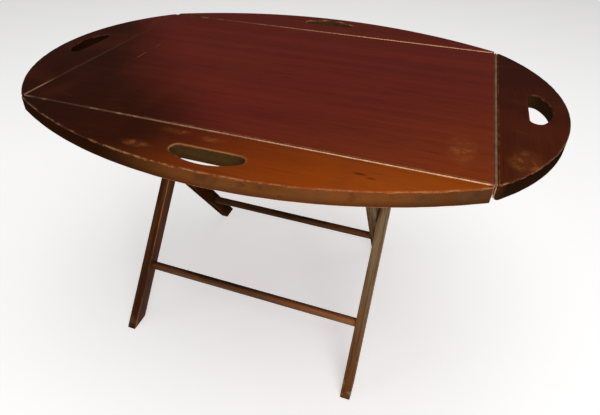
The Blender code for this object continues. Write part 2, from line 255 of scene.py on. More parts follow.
class Shader:
    """Builds one node material, from named steps that return values."""

    def __init__(self, name):
        self.material = bpy.data.materials.new(name)
        self.material.use_nodes = True
        self.tree = self.material.node_tree
        self.surface = self.tree.nodes["Principled BSDF"].inputs
        self.object = self.step("ShaderNodeTexCoord", "Object")

    def step(self, kind, output, feeds=None, **settings):
        """Add a node with its settings, feed its inputs, and return one output."""
        node = self.tree.nodes.new(kind)
        for name, setting in settings.items():
            setattr(node, name, setting)
        for name, value in (feeds or {}).items():
            self.feed(node.inputs[name], value)
        return Value(self, node.outputs[output])

    def feed(self, socket, value):
        """Link a socket, or set its value."""
        if isinstance(value, Value):
            self.tree.links.new(value.socket, socket)
        elif hasattr(socket.default_value, "__len__") and len(socket.default_value) == 4:
            socket.default_value = (*value[:3], 1.0)
        else:
            socket.default_value = value

    def place(self, scale=(1.0, 1.0, 1.0), rotation=(0.0, 0.0, 0.0), source=None):
        """Turned, then stretched coordinates."""
        turned = self.step("ShaderNodeMapping", "Vector",
                           {"Vector": source or self.object, "Rotation": rotation})
        return self.step("ShaderNodeMapping", "Vector", {"Vector": turned, "Scale": scale})

    def noise(self, scale, detail=4.0, rough=0.55, twist=0.0, vector=None):
        """Fractal noise, 0 to 1."""
        return self.step("ShaderNodeTexNoise", "Fac", {
            "Vector": vector or self.object, "Scale": scale, "Detail": detail,
            "Roughness": rough, "Distortion": twist})

    def math(self, operation, first, second=0.0, clamp=False):
        """Arithmetic on two values."""
        return self.step("ShaderNodeMath", 0, {0: first, 1: second}, operation=operation,
                         use_clamp=clamp)

    def mix(self, share, first, second, blend="MIX"):
        """Mix two colours."""
        return self.step("ShaderNodeMix", 2, {"Factor": share, 6: first, 7: second},
                         data_type="RGBA", blend_type=blend)

    def scaled(self, colour, level):
        """A colour times a number."""
        grey = self.step("ShaderNodeCombineColor", "Color", dict.fromkeys(range(3), level))
        return self.mix(1.0, colour, grey, "MULTIPLY")

    def axes(self, vector=None):
        """The X, Y and Z of a vector."""
        first = self.step("ShaderNodeSeparateXYZ", 0, {0: vector or self.object})
        return [Value(self, socket) for socket in first.socket.node.outputs]

    def spot(self, x, y, wide, deep, high=0.02):
        """A soft blob on the tray's face: 1 at its centre and 0 beyond its radii."""
        centre, radii = (x, y, TOP_Z), (wide, deep, high)
        local = self.step("ShaderNodeMapping", "Vector", {
            "Vector": self.object, "Location": [-c / r for c, r in zip(centre, radii)],
            "Scale": [1 / r for r in radii]})
        away = self.step("ShaderNodeVectorMath", "Value", {0: local}, operation="LENGTH")
        return away.band(0.25, 1.0, 1.0, 0.0)

    def spots(self, first, *rest):
        """The sum of several blobs."""
        result = self.spot(*first)
        for given in rest:
            result = result + self.spot(*given)
        return result

    def worn(self):
        """The mesh's own wear value: 1 along its arrises, and on the rods a painted highlight along
        their upper front.
        """
        return self.step("ShaderNodeAttribute", "Fac", attribute_name="wear_and_highlight")

    def bump(self, height, strength, distance):
        """Raise the surface by a height value."""
        self.feed(self.surface["Normal"], self.step("ShaderNodeBump", "Normal", {
            "Height": height, "Strength": strength, "Distance": distance}))

    def finish(self, colour, roughness, **constants):
        """Feed the surface and return the material."""
        self.feed(self.surface["Base Color"], colour)
        self.feed(self.surface["Roughness"], roughness)
        for name, value in constants.items():
            self.feed(self.surface[name.replace("_", " ")], value)
        return self.material


class Grain:
    """Wood grain along one direction: fibres, broad figure, ribbons and open pores."""

    def __init__(self, shader, turn):
        self.shader = shader
        self.turned = shader.place(rotation=turn)
        self.fibre = self.noise(2.0, 62.0, 8.0, 0.62, 0.35)
        self.figure = self.noise(0.9, 8.5, 4.0, 0.5, 1.1)
        self.ribbon = self.noise(11.0, 3.2, 2.0, 0.4, 0.6)
        self.pores = self.noise(22.0, 640.0, 3.0, 0.5, 0.2).band(0.60, 0.70)

    def noise(self, along, across, detail, rough, twist=0.0):
        """Noise with one scale along the grain and another across it."""
        stretched = self.shader.place((along, across, across), source=self.turned)
        return self.shader.noise(1.0, detail, rough, twist, stretched)

    def streak(self, share, low, high, start=0.0, stop=1.0):
        """A share of the fibres with the rest of the figure."""
        return (self.fibre * share + self.figure * (1.0 - share)).band(low, high, start, stop)


def scratches(shader, turn, scale, width):
    """Fine scratches in one direction, broken up along their length."""
    along = shader.place((1.6, 120.0, 120.0), (0.0, 0.0, turn))
    line = shader.noise(scale, 1.0, 0.3, 0.4, along)
    return abs(line - 0.5).band(width, 0.0) * shader.noise(14.0, 2.0).band(0.52, 0.62)


def polished_wood(name, look, turn):
    """Old polished mahogany: painted shade to the left, painted light to the front right, rubbed at
    arrises.
    """
    shader = Shader(name)
    grain = Grain(shader, turn)
    x, y, _ = shader.axes()
    # Zones: painted shade in the left corner and at the front leaf's left tip, a darker right leaf,
    # warm front leaf, painted light at the near right.
    drift = (shader.noise(3.1, 3.0, 0.6) - 0.5) * 0.16
    front = y.band(-0.215, -0.232)
    dark = (x + y * 0.80 + drift).band(-0.34, -0.15, 1.0, 0.0) | x.band(0.328, 0.336, 0.0, 0.90)
    lit = (x * 0.75 - y + drift).band(0.17, 0.46)
    lit = lit * front.band(0.0, 1.0, 0.42, 1.0) * x.band(0.325, 0.335, 1.0, 0.26)
    tip = front * x.band(-0.20, -0.34) * 0.85
    colour = shader.mix(front * 0.9, look.heart, look.warm).toward(look.shade, dark)
    colour = colour.toward(look.lit_tone, lit).toward(SHADED_TIP, tip)
    # Figure: streaks, glowing ribbons and pores.
    colour = shader.scaled(colour, grain.streak(0.6, 0.36, 0.64, 0.87, 1.13))
    colour = colour.toward(GLOW, grain.ribbon.band(0.46, 0.68, 0.0, 0.16))
    colour = colour.toward(PORE, grain.pores * 0.40)
    # Marks: two blots, dull scuffs, a row of dashes and fine scratches.
    blots = shader.spots((0.183, -0.257, 0.011, 0.004), (0.197, -0.262, 0.008, 0.003))
    colour = colour.toward(BLOT, blots * 0.6)
    scuffs = shader.spots(
        (0.291, -0.158, 0.024, 0.046), (0.366, -0.164, 0.028, 0.040),
        (-0.008, -0.247, 0.026, 0.009), (-0.095, -0.288, 0.026, 0.010),
        (-0.063, -0.243, 0.030, 0.008), (-0.386, 0.038, 0.010, 0.012))
    patchy = shader.noise(60.0, 6.0, 0.68).band(0.48, 0.60)
    dull = scuffs * patchy.band(0.0, 1.0, 0.25, 1.0) * 0.62
    colour = colour.toward(look.scuffed, dull)
    row = shader.spot(-0.261, -0.006, 0.0022, 0.085) * shader.noise(75.0, 3.0, 0.6).band(0.50, 0.58)
    marks = scratches(shader, 0.25, 1.0, 0.006) | scratches(shader, -0.2, 1.3, 0.005)
    marks = marks * 0.08 | row * 0.25
    colour = colour.toward(look.rubbed_and_lit, marks)
    # Wear: bare arrises, less by the folds and at both ends, more round the front hand-hole, where
    # the pale rim is a painted highlight.
    worn = shader.worn()
    chips = shader.noise(70.0, 4.0, 0.7).band(0.42, 0.60)
    ends = abs(x).band(0.338, 0.346, 1.0, 0.22)
    # Painted highlight along the front hand-hole's far rim, drawn as bare wood.
    rim = shader.math("ADD", shader.spot(-0.006, -0.2695, 0.075, 0.007),
                      shader.spot(-0.050, -0.281, 0.018, 0.016), clamp=True)
    wear_and_highlight = worn * chips * ends * x.band(-0.20, -0.03, 0.50, 0.80) | rim * worn * 0.75
    inside = abs(y).band(0.2310, 0.2340, 1.0, 0.0) * abs(x).band(0.3360, 0.3390, 1.0, 0.0)
    fold = inside * x.band(-0.26, 0.04, 0.92, 0.58) | inside * x.band(0.320, 0.326, 0.0, 0.72)
    wear_and_highlight = wear_and_highlight * (1.0 - fold)
    colour = colour.toward(look.rubbed_and_lit, wear_and_highlight)
    rough = shader.noise(9.0, 5.0, 0.65).band(0.30, 0.72, 0.28, 0.44) + (wear_and_highlight | dull) * 0.22
    shader.bump(grain.fibre * 0.30 - (grain.pores * 0.55 + marks), 0.20, WOOD_RELIEF)
    return shader.finish(colour, rough, Coat_Weight=0.03, Coat_Roughness=0.20,
                         Specular_IOR_Level=0.13)


def sawn_wood(name, usual, look, turn, left_end, right_shade):
    """Wood of a board's edge: less polish, dark grime, painted shade to the left, and arrises rubbed
    pale.

    Left_end says between which two X painted shade darkens the wood to the left, and right_shade
    how dark the right leaf's wood is.
    """
    shader = Shader(name)
    grain = Grain(shader, turn)
    x, _, z = shader.axes()
    right = x.band(0.315, 0.345) * right_shade | x.band(0.20, 0.325, 0.0, 0.40)
    # Painted shade: the edges and the left hand-hole's walls go dark to the left.
    colour = shader.mix(x.band(*left_end, 0.96, 0.0), usual, SHADED_SAWN).toward(DARK_SAWN, right)
    grey = (shader.noise(11.0, 3.0, 0.55).band(0.42, 0.62) * x.band(-0.02, 0.12)
            * x.band(0.310, 0.335, 1.0, 0.0) * 0.50)
    colour = colour.toward(GREYED_SAWN, grey)
    colour = colour.toward(STREAK, 0.30).toward(colour, grain.streak(0.55, 0.34, 0.66))
    under = z.band(TOP_Z - 0.45 * BOARD, TOP_Z - 0.95 * BOARD, 0.0, 0.50)
    grime = shader.noise(30.0, 5.0, 0.6).band(0.50, 0.70, 0.0, 0.45)
    colour = colour.toward(GRIME, under | grime).toward(SAWN_PORE, grain.pores * 0.35)
    lip = z.band(TOP_Z - 0.0030, TOP_Z - 0.0012) * shader.noise(60.0, 4.0, 0.7).band(0.46, 0.60)
    colour = colour.toward(look.rubbed_and_lit, lip * x.band(-0.22, -0.05, 0.40, 0.80))
    shader.bump(grain.fibre - grain.pores, 0.30, WOOD_RELIEF)
    return shader.finish(colour, grain.fibre.band(0.3, 0.7, 0.58, 0.72), Specular_IOR_Level=0.0)


def stand_wood(name, look, turn, depth, fade_and_light, gloss, rub_and_highlight):
    """Stained wood of the stand.

    Depth darkens it with painted shade; fade says how far its right side bleaches and is painted
    lighter; rub says how bare the worn places are at the left and at the right, with their painted
    highlights.
    """
    shader = Shader(name)
    grain = Grain(shader, turn)
    x, _, z = shader.axes()
    colour = shader.mix(grain.streak(0.65, 0.36, 0.62), look.shade, look.stain)
    patches = grain.noise(5.0, 60.0, 4.0, 0.6).band(0.48, 0.68, 0.0, 0.55)
    # The depth share mixes in painted shade.
    colour = colour.toward(look.rubbed_and_lit, patches).toward(SHADED_STAND, depth)
    # Painted light with some fading: the right side is lighter, and the upper right end paler with a
    # painted sheen.
    right = x.band(-0.06, 0.19)
    pale = grain.noise(6.0, 210.0, 6.0, 0.72).band(0.38, 0.58, 0.25, 1.0) * fade_and_light
    colour = colour.toward(look.rubbed_and_lit, right * pale)
    colour = colour.toward(look.bleach_and_sheen, x.band(0.13, 0.17) * z.band(0.02, 0.30) * pale)
    colour = colour.toward(STAND_PORE, grain.pores * 0.55)
    # Bare arrises with painted highlights: the rods' upper fronts and the outer legs' edges, most at
    # the left.
    wear_and_highlight = shader.worn() * grain.noise(9.0, 90.0, 4.0, 0.65).band(0.40, 0.60)
    colour = colour.toward(look.arris, wear_and_highlight * right.band(0.0, 1.0, *rub_and_highlight))
    scuff = (z.band(FLOOR_Z + 0.035, FLOOR_Z + 0.004) * right.band(0.0, 1.0, 0.15, 0.80)
             * shader.noise(70.0, 4.0, 0.6).band(0.52, 0.64))
    colour = colour.toward(SCUFFED_FOOT, scuff)
    shader.bump(grain.fibre - grain.pores * 0.9, 0.30, WOOD_RELIEF)
    rough = shader.noise(18.0, 4.0, 0.6).band(0.3, 0.7, 0.46, 0.62)
    return shader.finish(colour, rough, Specular_IOR_Level=gloss)


def hinge_brass(name, look):
    """Brass of the hinges: rubbed bright on the right, dark on the left with tarnish, old polish and
    painted shade.
    """
    shader = Shader(name)
    x = shader.axes()[0]
    patches = shader.noise(55.0, 5.0, 0.65).band(0.44, 0.64)
    # Painted shade with old polish: the hinges are dulled and darkened on the left.
    left = x.band(-0.27, 0.15, 0.97, 0.0) | x.band(0.322, 0.326, 0.0, 0.55)
    broken = shader.noise(38.0, 3.0, 0.6).band(0.36, 0.52, 0.55, 1.0) | x.band(-0.27, -0.32)
    corner = shader.spot(-0.333, -0.205, 0.03, 0.050, 0.03)
    grime_and_shade = left * broken * (1.0 - corner * 0.55)
    colour = shader.mix(patches * 0.45, look.brass, look.tarnish).toward(look.grime, grime_and_shade)
    grit = shader.noise(900.0, 3.0, 0.6)
    shader.bump(grit, 0.18, METAL_RELIEF)
    return shader.finish(colour, grit.band(0.3, 0.7, 0.30, 0.42) + grime_and_shade * 0.40,
                         Metallic=0.85 - grime_and_shade * 0.80, Specular_IOR_Level=0.3)


def dull_steel(name, look):
    """Plated steel with tarnish in patches and fine rub marks."""
    shader = Shader(name)
    patches = shader.noise(120.0, 5.0, 0.65).band(0.42, 0.66)
    grit = shader.noise(900.0, 3.0, 0.6)
    colour = shader.mix(patches * 0.72, look.steel, RUST)
    colour = colour.toward(RUST, grit.band(0.60, 0.72, 0.0, 0.35))
    shader.bump(grit, 0.18, METAL_RELIEF)
    return shader.finish(colour, patches * 0.20 + grit.band(0.3, 0.7, 0.38, 0.50), Metallic=1.0)


def woven_webbing(name, look, width):
    """Herringbone webbing on the strap's own map: U runs across it, V along it, in metres."""
    shader = Shader(name)
    u, v, _ = shader.axes(shader.step("ShaderNodeUVMap", "UV", uv_map="cloth"))
    waves = math.tau / look.thread
    zigzag = shader.math("PINGPONG", u, 4 * look.thread)
    twill = shader.math("SINE", (v + zigzag) * waves)
    weave = (twill * 0.7 + shader.math("SINE", u * waves) * 0.4).band(-0.9, 0.9)
    fuzz = shader.noise(12.0, 5.0, 0.7, vector=shader.place((60.0, 60.0, 60.0)))
    off = abs(u - width / 2)
    stripe = off.band(0.30 * width, 0.31 * width) * off.band(0.39 * width, 0.38 * width)
    colour = shader.mix(weave, [0.42 * c for c in look.jute], look.jute)
    colour = colour.toward(look.stripe, stripe * 0.8)
    colour = colour.toward(FUZZ, fuzz.band(0.45, 0.75, 0.0, 0.45))
    shader.bump(weave + fuzz * 0.5, 0.7, 0.0007)
    return shader.finish(colour, 0.92, Sheen_Weight=0.25)


def shared_material(name, build):
    """Build a material once, then reuse it."""
    return bpy.data.materials.get(name) or build(name)


def add_piece(name, work, materials, body, nodes):
    """Turn a bmesh into a finished piece that rides on a body and stands for CAD nodes."""
    mesh = bpy.data.meshes.new(name)
    work.to_mesh(mesh)
    work.free()
    for material in materials:
        mesh.materials.append(material)
    mesh.shade_smooth()
    mesh.set_sharp_from_angle(angle=math.radians(38))
    piece = bpy.data.objects.new(name, mesh)
    bpy.context.scene.collection.objects.link(piece)
    if body:
        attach(piece, body)
    if nodes:
        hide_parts(*nodes)
    return piece


def faces_in(made):
    """The faces that a bmesh operator returned."""
    return [g for g in made["geom"] if isinstance(g, bmesh.types.BMFace)]


def verts_in(made):
    """The vertices that a bmesh operator returned."""
    return [g for g in made["geom"] if isinstance(g, bmesh.types.BMVert)]


def fill(work, edges):
    """Fill an outline in XY and leave its holes open."""
    made = bmesh.ops.triangle_fill(work, edges=edges, use_beauty=True, normal=(0, 0, 1))
    return faces_in(made)


def move(work, verts, vec):
    """Move vertices."""
    bmesh.ops.translate(work, verts=verts, vec=vec)


def put(work, matrix, verts=None):
    """Turn and move vertices, or all of them."""
    bmesh.ops.transform(work, matrix=matrix, verts=verts or work.verts)


def face_out(work):
    """Turn every face outward."""
    bmesh.ops.recalc_face_normals(work, faces=work.faces)


def join_up(work, points, closed=True):
    """Join points into a ring or a line, and return its edges."""
    following = points[1:] + points[:1] if closed else points[1:]
    return [work.edges.new(pair) for pair in zip(points, following)]


def quarter(steps):
    """Angles from 0 to a right angle."""
    return [math.pi / 2 * step / steps for step in range(steps + 1)]


def knock(work, wear_and_highlight, depth, size=0.016):
    """Press shallow knocks into the worn vertices."""
    for vertex in work.verts:
        if vertex[wear_and_highlight] > 0.5:
            dip = noise.noise(vertex.co / size) + 0.5 * noise.noise(vertex.co / (0.3 * size))
            vertex.co -= vertex.normal * depth * max(0.0, dip)


def round_rim(work, faces, radius, wear_and_highlight, steps=4):
    """Round the border of a flat region by insets that follow a quarter circle."""
    angles = quarter(steps)
    curved, outermost = set(), set()
    for low, high in zip(angles, angles[1:]):
        made = bmesh.ops.inset_region(
            work, faces=faces, use_boundary=True, use_even_offset=True,
            thickness=radius * (math.cos(low) - math.cos(high)),
            depth=radius * (math.sin(high) - math.sin(low)))["faces"]
        curved.update(v for f in made for v in f.verts)
        outermost = outermost or curved - {v for f in faces for v in f.verts}
    made = bmesh.ops.inset_region(work, faces=faces, use_boundary=True, use_even_offset=True,
                                  thickness=1.5 * radius, depth=0.0)["faces"]
    inner = {v for f in faces for v in f.verts}
    ring = {v for f in made for v in f.verts} - inner
    for vertex in curved - inner - outermost:
        vertex[wear_and_highlight] = 1.0
    for vertex in ring - outermost:
        vertex[wear_and_highlight] = 0.25


def board_from_region(work, region, radius, depth, sunk=(), sink=0.0):
    """Give a flat region a board's thickness, downwards, and round both of its rims.

    The faces in sunk lie inside the region; their upper copies go down as a flat-bottomed recess.
    """
    wear_and_highlight = work.verts.layers.float.new("wear_and_highlight")
    everything = list(region) + list(sunk)
    bmesh.ops.recalc_face_normals(work, faces=everything)
    if region[0].normal.z < 0:
        bmesh.ops.reverse_faces(work, faces=everything)
    for face in sunk:
        face.material_index = 1
    lifted = bmesh.ops.extrude_face_region(work, geom=everything, use_keep_orig=True)
    top = faces_in(lifted)
    moved = list({v for f in top for v in f.verts})
    move(work, list({v for f in everything for v in f.verts}), (0.0, 0.0, radius - depth))
    move(work, moved, (0.0, 0.0, -radius))
    bmesh.ops.recalc_face_normals(work, faces=work.faces)
    walls = [f for f in work.faces if abs(f.normal.z) < 0.5]
    if sunk:
        floor = bmesh.ops.extrude_face_region(work, geom=[f for f in top if f.material_index])
        move(work, verts_in(floor), (0.0, 0.0, radius - sink))
        spent = [f for f in top if f.is_valid and f.material_index]
        bmesh.ops.delete(work, geom=spent, context="FACES_ONLY")
        top = [f for f in top if f.is_valid]
        for face in work.faces:
            face.material_index = 0
    round_rim(work, top, radius, wear_and_highlight)
    round_rim(work, everything, radius, wear_and_highlight)
    return wear_and_highlight, walls


def trace_leaf(work, half, width, fold_gap, look):
    """Draw a leaf's outline and hand-hole in XY, reaching out along -Y, and fill between them."""
    start = fold_gap + look.tip
    rise = width - start
    radius = (half * half + rise * rise) / (2 * rise)
    sweep = 2 * math.asin(half / radius)
    first = work.verts.new((-half, -start, 0.0))
    arc = bmesh.ops.spin(work, geom=[first], cent=(0.0, radius - width, 0.0), axis=(0, 0, 1),
                         angle=sweep, steps=look.arc_steps)
    last = arc["geom_last"][0]
    left = work.verts.new((-half, -fold_gap, 0.0))
    right = work.verts.new((half, -fold_gap, 0.0))
    work.edges.new((left, first))
    work.edges.new((last, right))
    fold = work.edges.new((left, right))
    bmesh.ops.subdivide_edges(work, edges=[fold], cuts=look.arc_steps // 2)
    corner = look.hole_corner
    across = look.hole_length / 2 - corner
    down = look.hole_width - corner
    bow = (across ** 2 + down ** 2 - corner ** 2) / (2 * (down - corner))
    lean = math.atan2(across, bow - down)
    ends = []
    for side in (1, -1):
        middle = (side * across, -look.hole_inset - corner, 0.0)
        point = work.verts.new((side * across, -look.hole_inset, 0.0))
        turned = bmesh.ops.spin(work, geom=[point], cent=middle, axis=(0, 0, -side),
                                angle=math.pi - lean, steps=24)
        ends.append((point, turned["geom_last"][0]))
    centre = (0.0, bow - look.hole_inset - look.hole_width, 0.0)
    bowed = bmesh.ops.spin(work, geom=[ends[0][1]], cent=centre, axis=(0, 0, -1),
                           angle=2 * lean, steps=30)
    bmesh.ops.weld_verts(work, targetmap={bowed["geom_last"][0]: ends[1][1]})
    straight = work.edges.new((ends[1][0], ends[0][0]))
    bmesh.ops.subdivide_edges(work, edges=[straight], cuts=15)
    return fill(work, work.edges[:])


def side_place(side):
    """Place of a fold: its axis as the origin, with the leaf reaching out along local -Y."""
    axis = Vector(JOINTS[f"{side}_leaf_fold"]["axis"])
    turn = math.atan2(-axis.y, -axis.x)
    return Matrix.Translation(JOINTS[f"{side}_leaf_fold"]["pos_m"]) @ Matrix.Rotation(turn, 4, "Z")


def local_box(side, node):
    """A fold's place, and the low and high corners of a node's box in it."""
    place = side_place(side)
    corners = [place.inverted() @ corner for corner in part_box(node)]
    low, high = (Vector([least(along) for along in zip(*corners)]) for least in (min, max))
    return place, low, high


def top_materials(look, along_y):
    """The three finishes of a board: polished faces, sawn edges and raw hand-hole walls."""
    tag = "end" if along_y else "long"
    turn = (0.0, 0.0, math.pi / 2 if along_y else 0.0)

    def sawn(kind, colour, left_end, right_shade):
        return shared_material(f"{kind}_{tag}_grain", lambda n: sawn_wood(
            n, colour, look, turn, left_end, right_shade))

    polished = shared_material(f"polished_{tag}_grain", lambda n: polished_wood(n, look, turn))
    return [polished, sawn("sawn", look.edge, (-0.15, 0.03), 0.97),
            sawn("raw", look.raw, (-0.32, -0.06), 0.60)]


class TRAYTABLE_OT_tray_board(bpy.types.Operator):
    """Model the fixed board in the middle of the tray"""

    bl_idname = "traytable.tray_board"
    bl_label = "Tray Board"

    def execute(self, context):
        look = context.scene.traytable_board
        low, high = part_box("tray_board")
        work = bmesh.new()
        size = high - low
        bmesh.ops.create_grid(work, x_segments=66, y_segments=45, size=0.5)
        bmesh.ops.scale(work, vec=(size.x, size.y, 1.0), verts=work.verts)
        wear_and_highlight, walls = board_from_region(work, list(work.faces), look.fold_arris, size.z)
        for face in walls:
            face.material_index = 1
        work.normal_update()
        knock(work, wear_and_highlight, 0.5 * look.dents)
        move(work, work.verts, ((low.x + high.x) / 2, (low.y + high.y) / 2, high.z))
        add_piece("tray_board_worn", work, top_materials(look, False), "tray", ["tray_board"])
        return {"FINISHED"}


class TRAYTABLE_OT_leaves(bpy.types.Operator):
    """Model the four hinged leaves, each with its hand-hole"""

    bl_idname = "traytable.leaves"
    bl_label = "Leaves"

    def execute(self, context):
        look = context.scene.traytable_board
        for side in SIDES:
            self.leaf(side, look)
        return {"FINISHED"}

    def leaf(self, side, look):
        """One leaf, drawn about its hinge axis and put in place."""
        place, low, high = local_box(side, f"{side}_leaf")
        work = bmesh.new()
        region = trace_leaf(work, (high.x - low.x) / 2, -low.y, -high.y, look)
        wear_and_highlight, walls = board_from_region(work, region, look.arris, BOARD)
        reach = look.hole_length / 2 + look.arris
        for face in walls:
            middle = face.calc_center_median()
            outward = -middle.y - look.hole_inset + look.arris
            in_hole = abs(middle.x) < reach and 0 < outward < look.hole_width + 2 * look.arris
            face.material_index = 2 if in_hole else 1
        work.normal_update()
        knock(work, wear_and_highlight, look.dents)
        move(work, work.verts, (0.0, 0.0, high.z))
        put(work, place)
        materials = top_materials(look, side in ("left", "right"))
        node = f"{side}_leaf"
        add_piece(f"{node}_worn", work, materials, node, [node])


class TRAYTABLE_OT_hinges(bpy.types.Operator):
    """Model the four continuous hinges with their pins and screws"""

    bl_idname = "traytable.hinges"
    bl_label = "Hinges"

    def execute(self, context):
        look = context.scene.traytable_hinge
        brass = shared_material("dull_brass", lambda n: hinge_brass(n, look))
        for side in SIDES:
            for kind, hand, body in (("fixed", 1, "tray"), ("moving", -1, f"{side}_leaf")):
                self.plate(side, kind, hand, body, look, brass)
                self.screws(side, kind, hand, body, look, brass)
            self.pin(side, look, brass)
        return {"FINISHED"}

    def plate(self, side, kind, hand, body, look, brass):
        """A plate with tabs, and a tube on each tab."""
        node = f"{side}_hinge_{kind}_plate"
        place, low, high = local_box(side, node)
        length = high.x - low.x
        count = 2 * round(length / (2 * look.pitch)) + 1
        pitch = length / count
        clear = -(look.radius + look.play)
        work = bmesh.new()
        bmesh.ops.create_grid(work, x_segments=count, y_segments=2, size=0.5)
        bmesh.ops.scale(work, vec=(length, 1.0, 1.0), verts=work.verts)
        put(work, Matrix.Rotation(math.pi / 2, 4, "X"))
        rows = {-0.5: low.z, 0.0: clear, 0.5: 0.0}
        for vertex in work.verts:
            vertex.co.z = rows[round(vertex.co.z, 1)]
        mine = 0 if kind == "fixed" else 1
        others = [f for f in work.faces if f.calc_center_median().z > clear
                  and int(f.calc_center_median().x / pitch + count / 2) % 2 != mine]
        bmesh.ops.delete(work, geom=others, context="FACES")
        pushed = verts_in(bmesh.ops.extrude_face_region(work, geom=list(work.faces),
                                                        use_keep_orig=True))
        rest = [v for v in work.verts if v not in pushed]
        move(work, rest, (0.0, hand * PLATE_INNER, 0.0))
        move(work, pushed, (0.0, hand * (look.radius - PLATE_SETBACK), 0.0))
        face_out(work)
        for index in range(mine, count, 2):
            middle, half = (index + 0.5 - count / 2) * pitch, (pitch - look.play) / 2
            start, stop = middle - half, middle + half
            wall = [(start, look.bore), (start, look.radius), (stop, look.radius), (stop, look.bore)]
            spin_section(work, wall, 14, closed=True)
        put(work, place)
        add_piece(node + "_fine", work, [brass], body, [node])

    def screws(self, side, kind, hand, body, look, brass):
        """Countersunk screws through a plate; their slotted heads face the other plate."""
        place, low, high = local_box(side, f"{side}_hinge_{kind}_plate")
        count = round((high.x - low.x - SCREWLESS) / look.screw_pitch)
        height = (low.z - look.radius) / 2
        work = bmesh.new()
        for index in range(count):
            x = (index + 0.5 - count / 2) * look.screw_pitch
            head = bmesh.ops.create_cone(
                work, cap_ends=True, segments=16, radius1=0.6 * look.screw_radius,
                radius2=look.screw_radius, depth=SCREW_HEAD)["verts"]
            faces = list({f for v in head for f in v.link_faces})
            slot_half = 0.13 * look.screw_radius
            for cut in (-slot_half, slot_half):
                geom = list({e for f in faces for e in f.edges}) + head + faces
                faces = faces_in(bmesh.ops.bisect_plane(
                    work, geom=geom, plane_co=(0, cut, 0), plane_no=(0, 1, 0)))
                head = list({v for f in faces for v in f.verts})
            slot = [f for f in faces
                    if f.normal.z > 0.9 and abs(f.calc_center_median().y) < 0.9 * slot_half]
            sunk = verts_in(bmesh.ops.extrude_face_region(work, geom=slot))
            move(work, sunk, (0, 0, -SLOT_DEPTH))
            bmesh.ops.delete(work, geom=[f for f in slot if f.is_valid], context="FACES_ONLY")
            faces = [f for f in work.faces
                     if f.is_valid and any(v in head or v in sunk for v in f.verts)]
            head = list({v for f in faces for v in f.verts})
            angle = noise.noise(Vector((7.0 * x, height, hand))) * math.pi
            spot = (Matrix.Translation((x, hand * SCREW_PLACE, height))
                    @ Matrix.Rotation(hand * math.pi / 2, 4, "X")
                    @ Matrix.Rotation(angle, 4, "Z"))
            put(work, spot, head)
        put(work, place)
        add_piece(f"{side}_hinge_{kind}_screws", work, [brass], body, [])

    def pin(self, side, look, brass):
        """The pin, with slightly rounded ends."""
        place, low, high = local_box(side, f"{side}_hinge_pin")
        half = (high.x - low.x) / 2
        work = bmesh.new()
        section = [(-half, 0.0), (-half, 0.6 * look.pin), (-half + 0.4 * look.pin, look.pin),
                   (half - 0.4 * look.pin, look.pin), (half, 0.6 * look.pin), (half, 0.0)]
        spin_section(work, section, 16)
        put(work, place)
        add_piece(f"{side}_hinge_pin_round", work, [brass], "tray", [f"{side}_hinge_pin"])


def spin_section(work, section, steps, closed=False):
    """Spin a section, given as (x, radius), about X: a closed ring, or a line with poles."""
    old = set(work.verts)
    points = [work.verts.new((x, 0.0, radius)) for x, radius in section]
    lines = join_up(work, points, closed)
    bmesh.ops.spin(work, geom=points + lines, cent=(0, 0, 0), axis=(1, 0, 0), angle=math.tau,
                   steps=steps, use_merge=True)
    if not closed:
        bmesh.ops.remove_doubles(work, verts=[v for v in work.verts if v not in old], dist=1e-6)
    fresh = [v for v in work.verts if v not in old]
    bmesh.ops.recalc_face_normals(work, faces=list({f for v in fresh for f in v.link_faces}))
    return fresh


def leg_lean(part):
    """Angle of a frame's legs from upright; positive where the tops lean to +Y."""
    return STAND_LEAN if part == "outer" else -STAND_LEAN


def stand_lean():
    """Lean of the legs from upright, from the rod's place below the pivot."""
    low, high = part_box("outer_rod")
    rod = (low + high) / 2
    return math.atan2(PIVOT.y - rod.y, PIVOT.z - rod.z)


STAND_LEAN = stand_lean()


def wear_edges(work, edges, radius, segments):
    """Bevel edges and mark the new round surface as worn."""
    wear_and_highlight = work.verts.layers.float.get("wear_and_highlight") or work.verts.layers.float.new("wear_and_highlight")
    made = bmesh.ops.bevel(work, geom=edges, offset=radius, offset_type="OFFSET", affect="EDGES",
                           segments=segments, profile=0.5, material=-1, clamp_overlap=True)
    rounded = set(made["faces"])
    for vertex in made["verts"]:
        vertex[wear_and_highlight] = 1.0 if rounded.issuperset(vertex.link_faces) else 0.0
    work.normal_update()
    return wear_and_highlight


